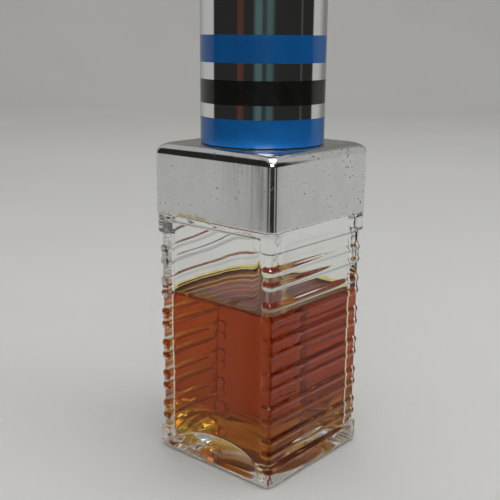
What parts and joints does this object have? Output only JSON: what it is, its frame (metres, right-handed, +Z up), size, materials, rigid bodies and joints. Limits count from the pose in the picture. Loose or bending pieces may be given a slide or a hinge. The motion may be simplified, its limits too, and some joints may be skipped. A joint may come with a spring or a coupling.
{
  "type": "aftershave bottle",
  "caption": "Square ribbed glass splash bottle, part full, with a plated square shoulder cover and a tall round screw cap with blue and black bands.",
  "frame": {"origin": "middle of the square foot, on the surface that the bottle stands on", "axes": "+Z up along the neck and cap; the smooth glass faces look along -Y and +Y, the ribbed faces along -X and +X"},
  "size_m": [0.04, 0.04, 0.1345],
  "materials": {
    "clear_glass": "clear, slightly wavy moulded glass",
    "amber_liquid": "clear amber-brown liquid",
    "natural_polyethylene": "milky natural polyethylene",
    "plated_cover": "bright plating with fine pitting",
    "liner_foam": "foamed polyethylene",
    "cap_polypropylene": "moulded black polypropylene",
    "polished_cap": "mirror-bright anodised",
    "blue_lacquer": "glossy blue lacquer",
    "black_lacquer": "glossy black lacquer"
  },
  "bodies": {
    "bottle": {"glass_bottle": "clear_glass", "aftershave": "amber_liquid", "pour_insert": "natural_polyethylene", "shoulder_cover": "plated_cover"},
    "seal": {"cap_liner": "liner_foam"},
    "cap": {"cap_inner": "cap_polypropylene", "cap_shell": "polished_cap", "lower_blue_band": "blue_lacquer", "black_band": "black_lacquer", "upper_blue_band": "blue_lacquer"}
  },
  "joints": [
    {"name": "cap_lift", "type": "slide", "parent": "bottle", "child": "seal", "axis": [0, 0, 1], "range_m": [0, 0.01906]},
    {"name": "cap_turn", "type": "hinge", "parent": "seal", "child": "cap", "pos_m": [0, 0, 0.1], "axis": [0, 0, 1], "range_deg": [0, 2160]}
  ],
  "couplings": [
    {"joint": "cap_lift", "follows": "cap_turn", "m_per_rad": 0.00050532}
  ]
}
